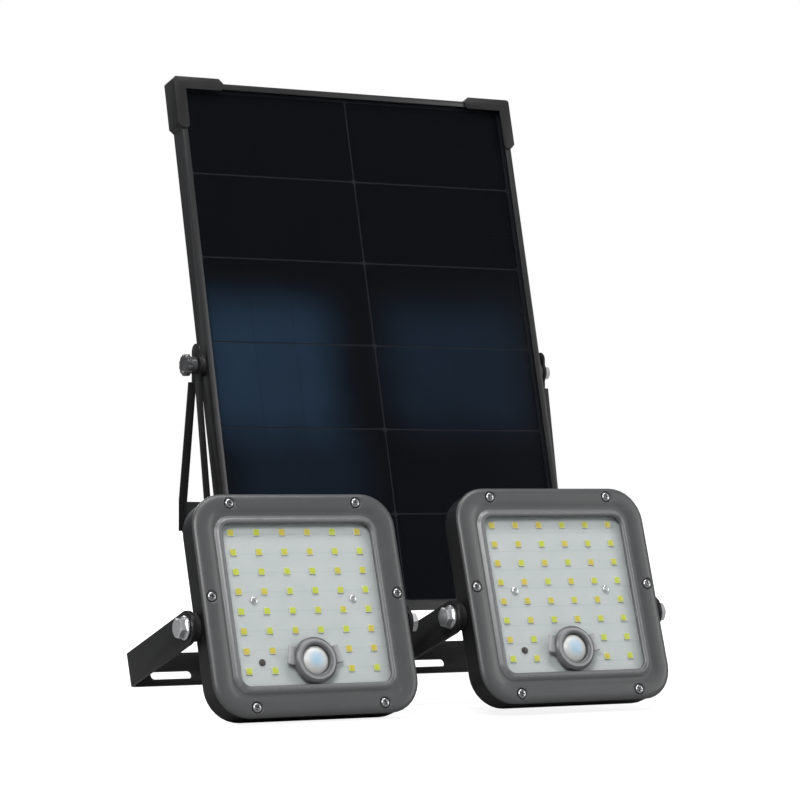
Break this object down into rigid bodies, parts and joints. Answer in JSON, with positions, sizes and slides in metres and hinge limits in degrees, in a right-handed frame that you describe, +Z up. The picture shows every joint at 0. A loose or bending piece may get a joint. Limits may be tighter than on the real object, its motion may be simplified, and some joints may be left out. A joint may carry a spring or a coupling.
{
  "type": "solar flood light",
  "caption": "Square LED flood heads tilting on strap brackets, each with a motion sensor, and a framed solar panel tilting on a folded stand.",
  "frame": {"origin": "middle of the stand's bolt line, on the underside of its web", "axes": "+X along the panel's width to its right seen from the front, +Y to the back, +Z up"},
  "size_m": [0.4564, 0.3705, 0.4906],
  "materials": {
    "black_bracket": "satin black powder coat",
    "dark_rail": "dark grey anodised",
    "cap_plastic": "fine texture",
    "bare_aluminium": "mill finish",
    "panel_glass": "clear, smooth",
    "cell_silicon": "near black with fine fingers",
    "back_sheet": "black film",
    "box_plastic": "fine texture",
    "zinc_steel": "zinc plated",
    "gland_nylon": "moulded",
    "nut_brass": "turned",
    "black_rubber": "matte",
    "knob_plastic": "moulded, fluted",
    "housing_paint": "fine black texture",
    "frame_paint": "dark grey satin",
    "clear_window": "clear, smooth",
    "board_white": "white solder mask",
    "led_phosphor": "yellow phosphor",
    "frame_screw_steel": "blackened",
    "sensor_dome": "milky, faceted inside",
    "sensor_collar": "grey",
    "sensor_can": "plain",
    "photocell_resin": "dark resin",
    "battery_wrap": "shrink wrap",
    "green_board": "green solder mask",
    "spacer_nylon": "moulded"
  },
  "bodies": {
    "brackets": {"panel_stand": "black_bracket", "left_bracket": "black_bracket", "right_bracket": "black_bracket"},
    "panel": {"frame_top_rail": "dark_rail", "frame_bottom_rail": "dark_rail", "frame_left_rail": "dark_rail", "frame_right_rail": "dark_rail", "corner_caps": "cap_plastic", "corner_keys": "bare_aluminium", "panel_glass": "panel_glass", "solar_cells": "cell_silicon", "back_sheet": "back_sheet", "junction_box": "box_plastic", "junction_box_lid": "box_plastic", "junction_box_screws": "zinc_steel", "panel_cable_glands": "gland_nylon", "pivot_nuts": "nut_brass", "panel_spacers": "black_rubber", "panel_pivot_bolt": "zinc_steel"},
    "thumb_screw": {"thumb_screw": "knob_plastic"},
    "left_head": {"left_housing": "housing_paint", "left_front_frame": "frame_paint", "left_window": "clear_window", "left_gasket": "black_rubber", "left_led_board": "board_white", "left_leds": "led_phosphor", "left_board_screws": "zinc_steel", "left_frame_screws": "frame_screw_steel", "left_sensor_lens": "sensor_dome", "left_sensor_collar": "sensor_collar", "left_motion_sensor": "sensor_can", "left_photocell": "photocell_resin", "left_battery_cells": "battery_wrap", "left_battery_cradle": "box_plastic", "left_control_board": "green_board", "left_cable_gland": "gland_nylon", "left_pivot_spacers": "spacer_nylon", "left_pivot_bolts": "zinc_steel", "left_pivot_washers": "zinc_steel"},
    "right_head": {"right_housing": "housing_paint", "right_front_frame": "frame_paint", "right_window": "clear_window", "right_gasket": "black_rubber", "right_led_board": "board_white", "right_leds": "led_phosphor", "right_board_screws": "zinc_steel", "right_frame_screws": "frame_screw_steel", "right_sensor_lens": "sensor_dome", "right_sensor_collar": "sensor_collar", "right_motion_sensor": "sensor_can", "right_photocell": "photocell_resin", "right_battery_cells": "battery_wrap", "right_battery_cradle": "box_plastic", "right_control_board": "green_board", "right_cable_gland": "gland_nylon", "right_pivot_spacers": "spacer_nylon", "right_pivot_bolts": "zinc_steel", "right_pivot_washers": "zinc_steel"}
  },
  "joints": [
    {"name": "panel_tilt", "type": "hinge", "parent": "brackets", "child": "panel", "pos_m": [0, -0.008, 0.135], "axis": [-1, 0, 0], "range_deg": [-9, 65]},
    {"name": "thumb_screw_turn", "type": "hinge", "parent": "panel", "child": "thumb_screw", "pos_m": [0, -0.008, 0.135], "axis": [-1, 0, 0], "continuous": true},
    {"name": "left_head_tilt", "type": "hinge", "parent": "brackets", "child": "left_head", "pos_m": [-0.197, -0.255, -0.057], "axis": [1, 0, 0], "range_deg": [-60, 90]},
    {"name": "right_head_tilt", "type": "hinge", "parent": "brackets", "child": "right_head", "pos_m": [0.003, -0.275, -0.053], "axis": [1, 0, 0], "range_deg": [-60, 90]}
  ]
}
